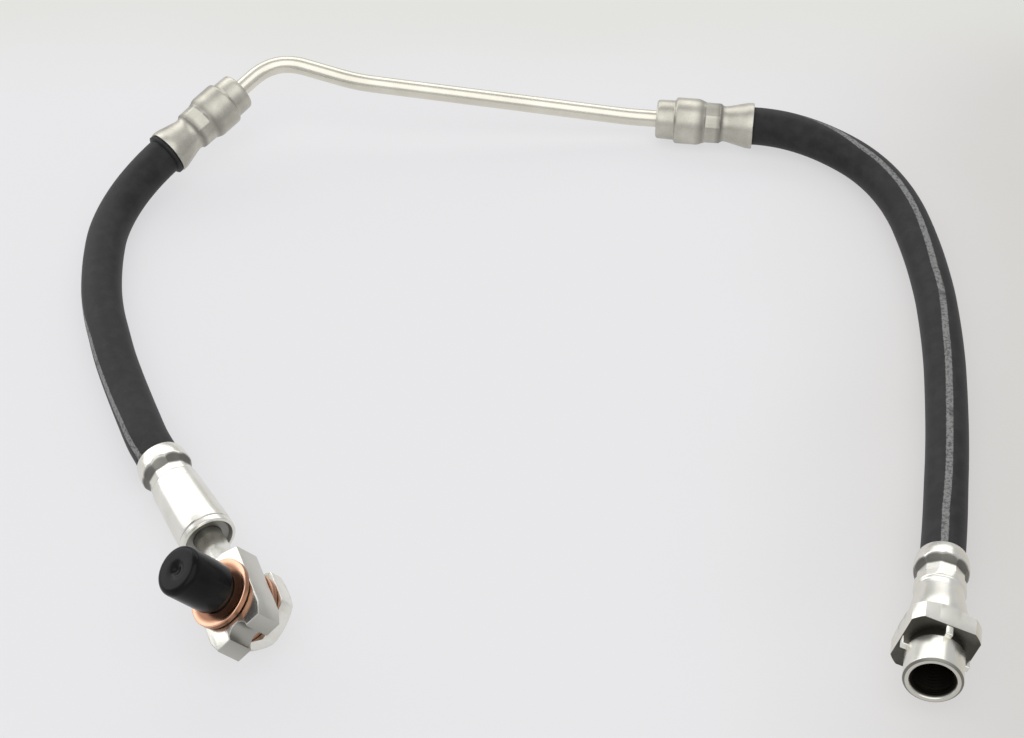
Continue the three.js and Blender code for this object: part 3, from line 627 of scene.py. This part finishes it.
# Painted shade: the flange's front face, the rim's outer edge and, faintly, the rim face are painted darker,
# and the bore is painted black as if unlit.
front_face = (s > FLANGE_TO - 0.01) & (s < FLANGE_TO + 2.1)
bore = (s > 24) & (out < 5.2) & (s < PORT_TO - 0.1)
edge = (s > PORT_TO - 0.5) & (out > 6.1) & (out < 6.64)
rim = (s > PORT_TO - 0.1) & (out < 6.1)
body_shade = np.maximum(np.maximum(front_face, bore * 2), np.maximum(edge * 0.8, rim * 0.2))
shaded = np.concatenate([body_shade, np.zeros(4 * len(key))])
points, faces = joined((body, body_faces), *keys)
make_piece(
    "keyed_port", carried(points, port_end), faces, steel, "plated_steel", ["female_port"],
    along=points[:, 2], shaded=shaded,
)

# Banjo. It is one forging: the eye that the hollow bolt passes through, with a fork that locates
# it on the caliper, and a bent neck that ends in the socket.
eye_centre = on_fitting(banjo_end, BANJO_SOCKET_LENGTH) + (0.0084, -0.0230, 0.0062)
bolt_axis = np.array((-0.596, -0.187, 0.781))
bolt_axis /= np.linalg.norm(bolt_axis)
eye_across = np.cross(bolt_axis, (0.358, -0.928, 0.052))
eye_across /= np.linalg.norm(eye_across)
eye_along = np.cross(eye_across, bolt_axis)
eye_frame = Matrix.Translation(eye_centre) @ Matrix(
    [[*column, 0] for column in (eye_along, eye_across, bolt_axis)] + [[0, 0, 0, 1]]
).transposed() @ Matrix.Scale(MM, 4)
EYE_THICKNESS = 7
EYE_HALF_WIDTH = 7.6
EYE_END = 11.7
EYE_TAPER_LENGTH = 3.2
EYE_TAPER_DEPTH = 1.1
EYE_SHOULDER = 10.6
EYE_CORNER = 1.6
EYE_BORE_RADIUS = 5
EYE_ROUNDING = 0.35
FORK_HALF_WIDTH = 2.45
FORK_DEPTH = 2.6
NECK_RADIUS = 3.5
NECK_BEND = 5
NECK_SIDES = 48
NECK_SWELL = 0.5
NECK_SWELL_FROM = 5.5
NECK_SWELL_LENGTH = 2.5


def arc(centre, radius, start, stop, count):
    for a in np.radians(np.linspace(start, stop, count)):
        yield centre[0] + radius * math.cos(a), centre[1] + radius * math.sin(a)


def plate_with_hole(rings, thickness, rounding):
    """A plate from flat outlines, the holes' outlines among them, with all its edges rounded."""
    outline = bpy.data.curves.new("outline", "CURVE")
    outline.dimensions = "2D"
    outline.fill_mode = "BOTH"
    outline.extrude = thickness / 2 - rounding
    outline.bevel_depth = rounding
    outline.bevel_resolution = 2
    outline.offset = -rounding
    for ring in rings:
        spline = outline.splines.new("POLY")
        spline.points.add(len(ring) - 1)
        spline.points.foreach_set("co", [c for x, y in ring for c in (x, y, 0, 1)])
        spline.use_cyclic_u = True
    holder = bpy.data.objects.new("outline", outline)
    scene.collection.objects.link(holder)
    bpy.context.view_layer.update()
    flat = bpy.data.meshes.new_from_object(holder.evaluated_get(bpy.context.evaluated_depsgraph_get()))
    made = np.array([v.co[:] for v in flat.vertices]), [tuple(face.vertices) for face in flat.polygons]
    bpy.data.objects.remove(holder)
    bpy.data.curves.remove(outline)
    return made


fork_middle = (EYE_END - FORK_DEPTH + FORK_HALF_WIDTH, 0)
taper_from = EYE_END - EYE_TAPER_LENGTH
taper_to = EYE_HALF_WIDTH - EYE_TAPER_DEPTH
eye_outline = [
    (taper_from, -EYE_HALF_WIDTH), (EYE_END, -taper_to), (EYE_END, -FORK_HALF_WIDTH),
    *arc(fork_middle, FORK_HALF_WIDTH, 270, 90, 17),
    (EYE_END, FORK_HALF_WIDTH), (EYE_END, taper_to), (taper_from, EYE_HALF_WIDTH),
    (-EYE_SHOULDER + EYE_CORNER, EYE_HALF_WIDTH), (-EYE_SHOULDER, NECK_RADIUS),
    (-EYE_SHOULDER, -NECK_RADIUS), (-EYE_SHOULDER + EYE_CORNER, -EYE_HALF_WIDTH),
]
eye_hole = list(arc((0, 0), EYE_BORE_RADIUS, 0, 352.5, 48))
eye, eye_faces = plate_with_hole([eye_outline, eye_hole], EYE_THICKNESS, EYE_ROUNDING)

neck_from = on_fitting(banjo_end, BANJO_SOCKET_LENGTH - 1.5)
bend_from = on_fitting(banjo_end, BANJO_SOCKET_LENGTH + 0.3)
bend_to = eye_centre - eye_along * (EYE_SHOULDER - 0.3) * MM
neck_to = eye_centre - eye_along * (EYE_BORE_RADIUS + 2) * MM
socket_along = (bend_from - neck_from) / np.linalg.norm(bend_from - neck_from)
bend_out = bend_from + socket_along * NECK_BEND * MM
bend_in = bend_to - eye_along * NECK_BEND * MM
bend = [
    (1 - t) ** 3 * bend_from + 3 * t * (1 - t) ** 2 * bend_out
    + 3 * t * t * (1 - t) * bend_in + t**3 * bend_to
    for t in np.linspace(0, 1, 24)
]
neck_path = evenly(np.array([neck_from, *bend, neck_to]), 0.5 * MM)
neck_at = lengths_along(neck_path) / MM
to_swell = (neck_at - neck_at[-1] + NECK_SWELL_FROM) / NECK_SWELL_LENGTH
neck_radii = NECK_RADIUS + NECK_SWELL * np.clip(to_swell, 0, 1) ** 2
neck_points, neck_faces = tube(neck_path, neck_radii * MM, NECK_SIDES)
# Painted shade on the neck's root in the socket's recess, and painted shade and painted reflection on the
# fork's notch, the prongs' ends and the eye's sides.
neck_shade = np.interp(neck_at, [0, 2.0, 3.4], [0.85, 0.5, 0])
in_fork = (eye[:, 0] > EYE_END - FORK_DEPTH - 0.1) & (np.abs(eye[:, 1]) < FORK_HALF_WIDTH + 0.1)
at_end = eye[:, 0] > EYE_END - 0.05
at_side = np.abs(eye[:, 1]) > EYE_HALF_WIDTH - 0.05
eye_shade = np.maximum(in_fork * 0.6, np.maximum(at_end * 0.42, at_side * 0.25))
points, faces = joined((carried(eye, eye_frame), eye_faces), (neck_points, neck_faces))
make_piece(
    "banjo_eye", points, faces, steel, "plated_steel", ["banjo_fitting"],
    along=np.concatenate([np.zeros(len(eye)), np.repeat(neck_at, NECK_SIDES)]),
    shaded=np.concatenate([eye_shade, np.repeat(neck_shade, NECK_SIDES)]),
)

# Hollow bolt. It carries the fluid from the eye into the caliper, and is a plated steel bolt with
# a chamfered hexagon head and an M10x1 thread.
HEAD_APOTHEM = 8.2
HEAD_CORNER = 9.4
HEAD_LOW = -10.0
HEAD_HIGH = -5.6
BOLT_END = 17.3
THREAD_FROM = 6.0
rows = [
    *flat_sides(6, HEAD_APOTHEM, HEAD_CORNER, HEAD_LOW, HEAD_HIGH),
    (HEAD_HIGH, 4.6), (THREAD_FROM - 0.5, 4.6), *threaded(THREAD_FROM, BOLT_END - 1, 4.62, PORT_SIDES),
    (BOLT_END - 0.9, 4.6), (BOLT_END, 3.7), (BOLT_END, 2), (-3, 2), (-3, 0), (HEAD_LOW + 0.6, 0),
    (HEAD_LOW + 0.6, 4.5), (HEAD_LOW, 5.1),
]
points, faces = turned(rows, PORT_SIDES, 30)
# The thread under the cap is painted darker, as painted shade.
make_piece(
    "hollow_bolt", carried(points, eye_frame), faces, steel, "plated_steel", ["banjo_bolt"],
    along=points[:, 2], shaded=(points[:, 2] > 4) * 0.9,
)

# Copper washers. They are stamped from soft copper sheet, and one seals on each side of the eye.
# The rear one is painted darker all over as painted shade, and the front one has painted shade and a painted
# reflection of the cap round the bolt.
COPPER_LIGHT = (0.93, 0.58, 0.41)
COPPER_SHADE = (0.78, 0.42, 0.27)
COPPER_IN_SHADE = (0.17, 0.065, 0.035)
WASHER_RADIUS = 8.1
WASHER_HOLE = 4.9
WASHER_THICKNESS = 1.5
copper = plated_metal("copper", COPPER_LIGHT, COPPER_SHADE, 0.19, 0.3, COPPER_IN_SHADE)
for name, low, washer_shade in (("front", 3.8, 0.0), ("rear", -5.3, 0.45)):
    high = low + WASHER_THICKNESS
    outline = [
        (low, WASHER_RADIUS, 0.3), (high, WASHER_RADIUS, 0.3), (high, WASHER_HOLE, 0.2),
        (low, WASHER_HOLE, 0.2),
    ]
    points, faces = turned(divided(rounded_off(outline), 0.5), TURNED_SIDES)
    out = np.hypot(points[:, 0], points[:, 1])
    # Painted shade on the washers' side walls, and painted shade and painted reflection of the cap round the
    # bolt.
    wall = (out > WASHER_RADIUS - 0.05) & (points[:, 2] < high - 0.25)
    cap_shade = (points[:, 2] > high - 0.1) * np.interp(out, [6.6, 7.4], [0.8, 0])
    make_piece(
        f"{name}_sealing_ring", carried(points, eye_frame), faces, copper, "copper",
        [f"{name}_copper_washer"], along=out, shaded=np.maximum(washer_shade, np.maximum(cap_shade, wall * 0.7)),
    )

# Shipping cap. It is dipped vinyl, pushed over the bolt's thread to keep dirt out until the hose
# is fitted, with the dimple that dipping leaves in its tip.
CAP_LOW = 7.2
CAP_TIP = 19.0
CAP_RADIUS = 5.9
CAP_BORE = 5.1
CAP_BORE_END = 17.8
CAP_ASKEW = 0.35
CAP_BLACK = (0.004, 0.004, 0.0045)
CAP_WORN = (0.007, 0.007, 0.0075)
vinyl = Finish("cap_vinyl", Specular_IOR_Level=0.14)
place = vinyl.place()
ripple = vinyl.noise(place, 260, 2)
speckle = vinyl.noise(place, 2400, 3)
vinyl.feed("Base Color", vinyl.mix(vinyl.step(ripple, 0.3, 0.7), CAP_BLACK, CAP_WORN))
vinyl.feed("Roughness", 0.10 + ripple * 0.10 + speckle * 0.05)
vinyl.relief(ripple * 1.0 + speckle * 0.12, 0.05)
outline = [
    (CAP_LOW, CAP_RADIUS, 0.3), (CAP_TIP, CAP_RADIUS, 2.9), (CAP_TIP, 2.5, 0.9), (CAP_TIP - 0.25, 1.4, 0.5),
    (CAP_TIP - 0.8, 0.5, 0.2), (CAP_TIP - 0.9, 0, 0), (CAP_BORE_END, 0, 0),
    (CAP_BORE_END, CAP_BORE - 1, 0.5), (CAP_BORE_END - 1.2, CAP_BORE, 0.3), (CAP_LOW, CAP_BORE, 0.2),
]
points, faces = turned(rounded_off(outline, 6), TURNED_SIDES)
points[:, 1] += CAP_ASKEW
make_piece("vinyl_cap", carried(points, eye_frame), faces, vinyl, "cap_vinyl", ["bolt_cap"])

# Floor and light. The line lies on a pale sheet that turns warmer and darker towards its right
# side, under wide, soft studio light from above and behind.
FLOOR_LIGHT = (0.845, 0.842, 0.857)
FLOOR_WARM = (0.675, 0.652, 0.62)
FLOOR_BACK = (0.79, 0.795, 0.755)
FLOOR_HALF = 3.0
FLOOR_GLOW = 0.7
WORLD_COLOUR = (0.96, 0.97, 1.0, 1)
WORLD_LIGHT = 0.4
WORLD_SEEN = 0.62
floor_mesh = bpy.data.meshes.new("floor")
corners = [(x * FLOOR_HALF, y * FLOOR_HALF, 0) for x, y in ((-1, -1), (1, -1), (1, 1), (-1, 1))]
floor_mesh.from_pydata(corners, [], [(0, 1, 2, 3)])
floor = bpy.data.objects.new("floor", floor_mesh)
scene.collection.objects.link(floor)
sheet = Finish("pale_sheet", Roughness=0.9, Specular_IOR_Level=0.1)
place = sheet.place()
across = sheet.node("ShaderNodeSeparateXYZ", None, {"Vector": place}, "X")
back = sheet.node("ShaderNodeSeparateXYZ", None, {"Vector": place}, "Y")
drift = sheet.noise(place, 9, 2) - 0.5
warm = sheet.step(across + drift * 0.05 - back * 0.12, 0.035, 0.17)
tone = sheet.mix(warm, FLOOR_LIGHT, FLOOR_WARM)
tone = sheet.mix(sheet.step(back + drift * 0.05, 0.11, 0.16) * 0.8, tone, FLOOR_BACK)
sheet.feed("Base Color", tone)
seen = sheet.node("ShaderNodeLightPath", output="Is Camera Ray")
seen = seen + sheet.node("ShaderNodeLightPath", output="Is Glossy Ray")
seen = seen + sheet.node("ShaderNodeLightPath", output="Is Transmission Ray")
glow = sheet.node("ShaderNodeEmission", None, {"Color": tone, "Strength": 1.0})
mixed = sheet.node("ShaderNodeMixShader", None, {0: seen * FLOOR_GLOW})
sheet.links.new(sheet.surface.outputs["BSDF"], mixed.socket.node.inputs[1])
sheet.links.new(glow.socket, mixed.socket.node.inputs[2])
sheet.links.new(mixed.socket, sheet.nodes["Material Output"].inputs["Surface"])
floor_mesh.materials.append(sheet.material)

world = bpy.data.worlds.new("studio")
scene.world = world
world.use_nodes = True
nodes = world.node_tree.nodes
links = world.node_tree.links
background = nodes["Background"]
background.inputs["Color"].default_value = WORLD_COLOUR
rays = nodes.new("ShaderNodeLightPath")
seen = nodes.new("ShaderNodeMath")
links.new(rays.outputs["Is Camera Ray"], seen.inputs[0])
links.new(rays.outputs["Is Glossy Ray"], seen.inputs[1])
strength = nodes.new("ShaderNodeMapRange")
strength.inputs["To Min"].default_value = WORLD_LIGHT
strength.inputs["To Max"].default_value = WORLD_SEEN
links.new(seen.outputs[0], strength.inputs["Value"])
links.new(strength.outputs[0], background.inputs["Strength"])


def soft_light(name, place, size, power, tint):
    lamp = bpy.data.lights.new(name, "AREA")
    lamp.shape = "RECTANGLE"
    lamp.size, lamp.size_y = size
    lamp.energy = power
    lamp.color = tint
    holder = bpy.data.objects.new(name, lamp)
    holder.location = place
    holder.rotation_euler = (-Vector(place)).to_track_quat("-Z", "Y").to_euler()
    scene.collection.objects.link(holder)


soft_light("top_softbox", (0.0, -0.6, 1.15), (2.0, 1.6), 8.5, (1.0, 0.995, 0.98))
soft_light("back_softbox", (-0.1, 1.2, 0.9), (2.4, 1.0), 8, (1.0, 0.99, 0.96))
soft_light("left_softbox", (-1.15, 0.63, 0.5), (1.0, 0.9), 3.2, (1.0, 1.0, 1.0))
